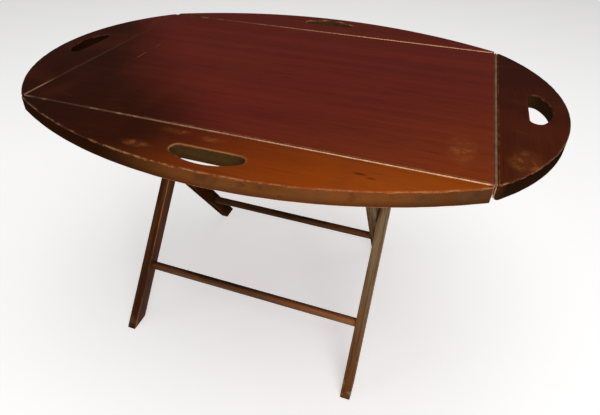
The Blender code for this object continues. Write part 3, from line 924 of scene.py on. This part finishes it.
class TRAYTABLE_OT_legs(bpy.types.Operator):
    """Model the four legs of the stand"""

    bl_idname = "traytable.legs"
    bl_label = "Legs"

    def execute(self, context):
        look = context.scene.traytable_stand
        for part in FRAMES:
            turn = (leg_lean(part), math.pi / 2, 0.0)
            # The inner frame gets heavy painted shade through depth, and less painted light on its
            # right.
            if part == "outer":
                age_and_light = {"depth": 0.05, "fade_and_light": 0.90, "gloss": 0.08, "rub_and_highlight": (0.90, 0.20)}
            else:
                age_and_light = {"depth": 0.70, "fade_and_light": 0.30, "gloss": 0.0, "rub_and_highlight": (0.22, 0.15)}
            wood = shared_material(f"{part}_leg_wood", lambda n: stand_wood(n, look, turn, **age_and_light))
            for hand, _ in HANDS:
                self.leg(part, hand, look, wood)
        return {"FINISHED"}

    def leg(self, part, hand, look, wood):
        """A leaning bar, cut level at both ends, with a recess for its end of the pivot bolt."""
        node = f"{part}_leg_{hand}"
        low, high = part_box(node)
        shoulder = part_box(f"{part}_top_rail")[0].z - EDGE_GAP
        way = (1 if hand == "right" else -1) * (1 if part == "outer" else -1)
        slope = math.tan(leg_lean(part))
        half = look.leg_width / (2 * math.cos(STAND_LEAN))
        work = bmesh.new()
        bottom, top = low.z - PIVOT.z, shoulder - PIVOT.z
        corners = ((bottom, -half), (bottom, half), (top, half), (top, -half))
        edges = join_up(work, [work.verts.new((way * (level * slope + side), level, 0.0))
                               for level, side in corners])
        bmesh.ops.subdivide_edges(work, edges=[edges[1], edges[3]], cuts=80)
        radius, depth = self.recess(part, hand)
        circle = bmesh.ops.create_circle(work, segments=36, radius=radius)["verts"]
        rim = list({e for v in circle for e in v.link_edges})
        region = fill(work, work.edges[:])
        disc = fill(work, rim)
        wear_and_highlight, _ = board_from_region(work, region, look.leg_arris, high.x - low.x, disc, depth)
        work.normal_update()
        knock(work, wear_and_highlight, look.dents)
        outward = Vector((way, 0.0, 0.0))
        axes = Matrix((Vector((0.0, way, 0.0)), Vector((0.0, 0.0, 1.0)), outward)).transposed()
        place = Vector((high.x if way > 0 else low.x, PIVOT.y, PIVOT.z))
        put(work, Matrix.Translation(place) @ axes.to_4x4())
        for vertex in work.verts:
            vertex.co.z = max(vertex.co.z, low.z)
        add_piece(f"{node}_worn", work, [wood], f"{part}_frame", [node])

    def recess(self, part, hand):
        """Radius and depth of the recess for the bolt's head or its nut."""
        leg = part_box(f"{part}_leg_{hand}")
        end = 1 if hand == "right" else 0
        if part == "outer":
            node, face, extra = "bolt", leg[end], BOLT_HEAD
        else:
            node, face, extra = "end_washer", leg[1 - end], 0.0
        low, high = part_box(f"pivot_{node}_{hand}")
        reach = abs(face.x - (high if end else low).x) + extra + EDGE_GAP
        return (high.z - low.z) / 2 + RECESS_ROOM, reach


class TRAYTABLE_OT_rods_and_rails(bpy.types.Operator):
    """Model the lower rods and the top rails of the stand"""

    bl_idname = "traytable.rods_and_rails"
    bl_label = "Rods and Rails"

    def execute(self, context):
        look = context.scene.traytable_stand
        for part in FRAMES:
            # The inner rod and rail get more painted shade through depth, and less painted light on
            # their right.
            if part == "outer":
                age_and_light = {"depth": 0.12, "fade_and_light": 1.0, "gloss": 0.22, "rub_and_highlight": (0.25, 0.85)}
            else:
                age_and_light = {"depth": 0.45, "fade_and_light": 0.6, "gloss": 0.10, "rub_and_highlight": (0.12, 0.35)}
            wood = shared_material(f"{part}_rod_wood", lambda n: stand_wood(
                n, look, (0.0, 0.0, 0.0), **age_and_light))
            self.rod(part, wood)
            self.rail(part, look, wood)
        return {"FINISHED"}

    def rod(self, part, wood):
        """A round rod between the legs; its ends meet their inner faces."""
        low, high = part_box(f"{part}_rod")
        radius = (high.z - low.z) / 2
        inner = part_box(f"{part}_leg_right")[0].x - (low.x + high.x) / 2
        work = bmesh.new()
        wear_and_highlight = work.verts.layers.float.new("wear_and_highlight")
        steps = 90
        section = [(-inner, 0.0)]
        section += [(inner * (2 * i / steps - 1), radius) for i in range(steps + 1)]
        section += [(inner, 0.0)]
        spin_section(work, section, 40)
        for vertex in work.verts:
            wobble = noise.noise(vertex.co * 22.0) + 0.4 * noise.noise(vertex.co * 90.0)
            spread = Vector((0.0, vertex.co.y, vertex.co.z))
            vertex.co -= spread * 0.022 * max(0.0, wobble)
            # Painted highlight: the upper front of the rod is marked in the wear layer and drawn
            # pale like a bare arris.
            facing = max(0.0, (0.80 * vertex.co.z - 0.60 * vertex.co.y) / radius)
            vertex[wear_and_highlight] = facing ** 5
        move(work, work.verts, (low + high) / 2)
        add_piece(f"{part}_rod_round", work, [wood], f"{part}_frame", [f"{part}_rod"])

    def rail(self, part, look, wood):
        """A flat bar with well rounded edges."""
        low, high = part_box(f"{part}_top_rail")
        work = bmesh.new()
        bmesh.ops.create_cube(work, size=1.0)
        bmesh.ops.scale(work, vec=high - low, verts=work.verts)
        move(work, work.verts, (low + high) / 2)
        long_edges = [e for e in work.edges if e.calc_length() > 0.3]
        bmesh.ops.subdivide_edges(work, edges=long_edges, cuts=60, use_grid_fill=True)
        sharp = [e for e in work.edges if e.calc_face_angle() > 0.5]
        wear_and_highlight = wear_edges(work, sharp, look.rail_arris, 4)
        knock(work, wear_and_highlight, look.dents)
        node = f"{part}_top_rail"
        add_piece(f"{node}_worn", work, [wood], f"{part}_frame", [node])


class TRAYTABLE_OT_pivots(bpy.types.Operator):
    """Model the pivot bolts, washers and nuts"""

    bl_idname = "traytable.pivots"
    bl_label = "Pivots"

    def execute(self, context):
        look = context.scene.traytable_stand
        steel = shared_material("dull_steel", lambda n: dull_steel(n, look))
        for hand, way in HANDS:
            self.bolt(hand, way, steel)
            self.washer(f"pivot_spacer_washer_{hand}", steel)
            self.washer(f"pivot_end_washer_{hand}", steel)
            self.nut(hand, steel)
        return {"FINISHED"}

    def bolt(self, hand, way, steel):
        """A domed head outside, a shank, and thread ridges where the nut sits."""
        low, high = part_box(f"pivot_bolt_{hand}")
        nut_low, nut_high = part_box(f"pivot_nut_{hand}")
        head_radius = (high.z - low.z) / 2
        length = high.x - low.x
        dome = [(length - BOLT_HEAD * (1 - math.cos(a)), head_radius * math.sin(a))
                for a in quarter(8)]
        start, nut_end = (low.x, nut_high.x) if way > 0 else (high.x, nut_low.x)
        ridges = []
        for i in range(int((abs(nut_end - start) + THREAD_PAST_NUT) / THREAD_PITCH), 0, -1):
            ridges += [(i * THREAD_PITCH, SHANK), ((i - 0.5) * THREAD_PITCH, 0.90 * SHANK)]
        section = dome + [(length - BOLT_HEAD, SHANK)] + ridges + [(0.0, 0.85 * SHANK), (0.0, 0.0)]
        work = bmesh.new()
        spin_section(work, section, 32)
        if way < 0:
            put(work, Matrix.Rotation(math.pi, 4, "Z"))
        move(work, work.verts, (start, PIVOT.y, PIVOT.z))
        node = f"pivot_bolt_{hand}"
        add_piece(f"{node}_domed", work, [steel], "outer_frame", [node])

    def washer(self, node, steel):
        """A flat ring with softened edges."""
        low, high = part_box(node)
        outer = (high.z - low.z) / 2
        half = (high.x - low.x) / 2
        soft = 0.25 * half
        flat, bore = half - soft, BORE
        ring = [(-half, bore + soft), (-half, outer - soft), (-flat, outer), (flat, outer),
                (half, outer - soft), (half, bore + soft), (flat, bore), (-flat, bore)]
        work = bmesh.new()
        spin_section(work, ring, 36, closed=True)
        move(work, work.verts, (low + high) / 2)
        add_piece(f"{node}_ring", work, [steel], "outer_frame", [node])

    def nut(self, hand, steel):
        """A six-sided nut with a round bore and softened corners."""
        node = f"pivot_nut_{hand}"
        low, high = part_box(node)
        radius = max(high.y - low.y, high.z - low.z) / 2
        work = bmesh.new()
        bmesh.ops.create_circle(work, segments=6, radius=radius)
        bmesh.ops.create_circle(work, segments=24, radius=BORE)
        lifted = bmesh.ops.extrude_face_region(work, geom=fill(work, work.edges[:]),
                                               use_keep_orig=True)
        move(work, verts_in(lifted), (0, 0, high.x - low.x))
        face_out(work)
        corners = [e for e in work.edges if e.calc_face_angle(0.0) > 0.5
                   and max(v.co.xy.length for v in e.verts) > 0.9 * radius]
        bmesh.ops.bevel(work, geom=corners, offset=0.0004, affect="EDGES", segments=2,
                        profile=0.5, material=-1)
        put(work, Matrix.Rotation(math.pi / 2, 4, "Y"))
        move(work, work.verts, (low.x, PIVOT.y, PIVOT.z))
        add_piece(f"{node}_hex", work, [steel], "outer_frame", [node])


class TRAYTABLE_OT_straps(bpy.types.Operator):
    """Model the webbing straps and the tacks that hold them"""

    bl_idname = "traytable.straps"
    bl_label = "Straps"

    def execute(self, context):
        look = context.scene.traytable_webbing
        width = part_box("strap_left")[1].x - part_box("strap_left")[0].x
        cloth = shared_material("herringbone_webbing", lambda n: woven_webbing(n, look, width))
        for hand, _ in HANDS:
            self.strap(hand, look, cloth)
        for part in FRAMES:
            self.tacks(part, look)
        return {"FINISHED"}

    def strap(self, hand, look, cloth):
        """A band over both rails with its ends down their outer faces."""
        node = f"strap_{hand}"
        low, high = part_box(node)
        width = high.x - low.x
        corner = 0.0030
        reach = high.y - look.thickness / 2
        top = high.z - look.thickness / 2 - 0.0001
        drop = top - low.z - corner
        flat = 2 * (reach - corner)
        bend = math.pi / 2 * corner
        length = flat + 2 * (bend + drop)
        work = bmesh.new()
        bmesh.ops.create_grid(work, x_segments=10, y_segments=150, size=0.5, calc_uvs=True)
        layer = work.loops.layers.uv.new("cloth")
        for face in work.faces:
            for loop in face.loops:
                loop[layer].uv = ((loop.vert.co.x + 0.5) * width, (loop.vert.co.y + 0.5) * length)
        for vertex in work.verts:
            run = vertex.co.y * length
            side = 1 if run > 0 else -1
            past = abs(run) - flat / 2
            if past <= 0:
                y, z = abs(run), top
            elif past < bend:
                angle = past / corner
                y = flat / 2 + corner * math.sin(angle)
                z = top - corner * (1 - math.cos(angle))
            else:
                y, z = reach, top - corner - (past - bend)
            edge = 0.00025 * noise.noise(Vector((run * 60.0, vertex.co.x * 9.0, 1.0)))
            across = (low.x + high.x) / 2 + vertex.co.x * (width - 0.0008) + edge
            vertex.co = Vector((across, side * y, z))
        face_out(work)
        flip = [f for f in work.faces if f.normal.z < -0.5]
        if len(flip) > len(work.faces) / 2:
            bmesh.ops.reverse_faces(work, faces=work.faces)
        bmesh.ops.solidify(work, geom=list(work.faces), thickness=look.thickness)
        face_out(work)
        strap = add_piece(f"{node}_woven", work, [cloth], None, [node])
        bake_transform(strap)

    def tacks(self, part, look):
        """Round-headed tacks through the strap ends of one rail."""
        steel = bpy.data.materials["dull_steel"]
        side = 1 if part == "outer" else -1
        section = [(TACK_DOME * math.cos(a), look.tack_radius * math.sin(a)) for a in quarter(5)]
        section += [(-0.002, 0.6 * look.tack_radius), (-0.002, 0.0)]
        turn = Matrix.Rotation(side * math.pi / 2, 4, "Z")
        work = bmesh.new()
        for hand, _ in HANDS:
            low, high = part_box(f"strap_{hand}")
            for share in (0.16, 0.5, 0.84):
                head = spin_section(work, section, 18)
                place = Matrix.Translation((low.x + share * (high.x - low.x),
                                            side * (high.y - 0.0002), low.z + 0.006))
                put(work, place @ turn, head)
        add_piece(f"{part}_rail_tacks", work, [steel], f"{part}_frame", [])


class TRAYTABLE_OT_stage(bpy.types.Operator):
    """Set the floor, the light and the camera"""

    bl_idname = "traytable.stage"
    bl_label = "Stage"

    def execute(self, context):
        look = context.scene.traytable_stage
        self.floor(look)
        self.lights(context)
        self.camera(context, look)
        context.scene.view_settings.view_transform = "Standard"
        return {"FINISHED"}

    def floor(self, look):
        """A large plain floor, and far off a pale wall all round that only the camera sees."""
        shader = Shader("pale_floor")
        pale = shader.scaled(look.floor, shader.noise(2.0, 3.0).band(0.3, 0.7, 0.985, 1.0))
        pale = shader.finish(pale, 0.9, Specular_IOR_Level=0.1, Emission_Color=(1.0, 1.0, 1.0),
                             Emission_Strength=0.50)
        ground = bmesh.new()
        bmesh.ops.create_grid(ground, x_segments=2, y_segments=2, size=14.0)
        move(ground, ground.verts, (0, 0, FLOOR_Z - 0.0005))
        self.set_up("floor", ground, pale)
        wall = bmesh.new()
        points = [wall.verts.new((12.0 + 5.0 * math.sin(a), 0.0,
                                  FLOOR_Z - 0.01 + 5.0 * (1 - math.cos(a)))) for a in quarter(12)]
        points.append(wall.verts.new((17.0, 0.0, 14.0)))
        bmesh.ops.spin(wall, geom=points + join_up(wall, points, False), axis=(0, 0, 1),
                       cent=(0, 0, 0), angle=math.tau, steps=64, use_merge=True)
        backdrop = self.set_up("backdrop", wall, pale)
        backdrop.visible_diffuse = backdrop.visible_glossy = backdrop.visible_shadow = False

    def set_up(self, name, work, material):
        """Turn a bmesh into a piece of the stage."""
        mesh = bpy.data.meshes.new(name)
        work.to_mesh(mesh)
        work.free()
        mesh.shade_smooth()
        mesh.materials.append(material)
        made = bpy.data.objects.new(name, mesh)
        bpy.context.scene.collection.objects.link(made)
        return made

    def lights(self, context):
        """A wide soft top light, a fill from the front, one from the left, a dim surround."""
        for name, place, aim, size, power in (
                ("top_light", (0.4, -0.3, 3.2), 0.3, 3.4, 58.0),
                ("front_fill", (1.6, -2.6, 1.7), 0.4, 1.8, 35.0),
                ("left_fill", (-2.6, -1.6, 1.5), 0.35, 1.6, 8.0)):
            lamp = bpy.data.lights.new(name, "AREA")
            lamp.size = size
            lamp.energy = power
            made = bpy.data.objects.new(name, lamp)
            made.location = place
            toward = Vector(place) - Vector((0.0, 0.0, aim))
            made.rotation_euler = toward.to_track_quat("Z", "Y").to_euler()
            context.scene.collection.objects.link(made)
        world = bpy.data.worlds.new("soft_surround")
        world.use_nodes = True
        background = world.node_tree.nodes["Background"].inputs
        background["Color"].default_value = (1.0, 0.86, 0.80, 1.0)
        background["Strength"].default_value = 0.055
        context.scene.world = world

    def camera(self, context, look):
        """The camera stands in front, to the right, and looks down on the tray."""
        lens = bpy.data.cameras.new("camera")
        lens.lens = look.lens
        lens.sensor_width = 36.0
        lens.shift_x = 0.025
        lens.shift_y = -0.0509
        lens.clip_start = 0.02
        made = bpy.data.objects.new("camera", lens)
        made.matrix_world = (
            Matrix.Translation((0.2548, -0.7220, 0.8121)) @ Matrix.Rotation(look.turn, 4, "Z")
            @ Matrix.Rotation(math.pi / 2 - look.dip, 4, "X") @ Matrix.Rotation(look.roll, 4, "Z"))
        context.scene.collection.objects.link(made)
        context.scene.camera = made


OPERATORS = (
    TRAYTABLE_OT_tray_board, TRAYTABLE_OT_leaves, TRAYTABLE_OT_hinges, TRAYTABLE_OT_legs,
    TRAYTABLE_OT_rods_and_rails, TRAYTABLE_OT_pivots, TRAYTABLE_OT_straps, TRAYTABLE_OT_stage,
)


class TRAYTABLE_PT_panel(bpy.types.Panel):
    """Sidebar panel that lists the table's pieces"""

    bl_idname = "TRAYTABLE_PT_panel"
    bl_label = "Tray Table"
    bl_space_type = "VIEW_3D"
    bl_region_type = "UI"
    bl_category = "Tray Table"

    def draw(self, context):
        for operator in OPERATORS:
            self.layout.operator(operator.bl_idname)


SETTINGS = {
    "traytable_board": BoardSettings,
    "traytable_hinge": HingeSettings,
    "traytable_stand": StandSettings,
    "traytable_webbing": WebbingSettings,
    "traytable_stage": StageSettings,
}


def register():
    """Register the settings, operators and panel."""
    for name, group in SETTINGS.items():
        bpy.utils.register_class(group)
        setattr(bpy.types.Scene, name, PointerProperty(type=group))
    for operator in OPERATORS:
        bpy.utils.register_class(operator)
    bpy.utils.register_class(TRAYTABLE_PT_panel)


def unregister():
    """Remove what register() added."""
    bpy.utils.unregister_class(TRAYTABLE_PT_panel)
    for operator in reversed(OPERATORS):
        bpy.utils.unregister_class(operator)
    for name, group in SETTINGS.items():
        delattr(bpy.types.Scene, name)
        bpy.utils.unregister_class(group)


def main():
    """Build every piece around the frame."""
    for old in list(bpy.data.objects):
        if old.name in ("Cube", "Light", "Camera"):
            bpy.data.objects.remove(old, do_unlink=True)
    register()
    for operator in OPERATORS:
        group, name = operator.bl_idname.split(".")
        getattr(getattr(bpy.ops, group), name)()


if __name__ == "__main__":
    main()
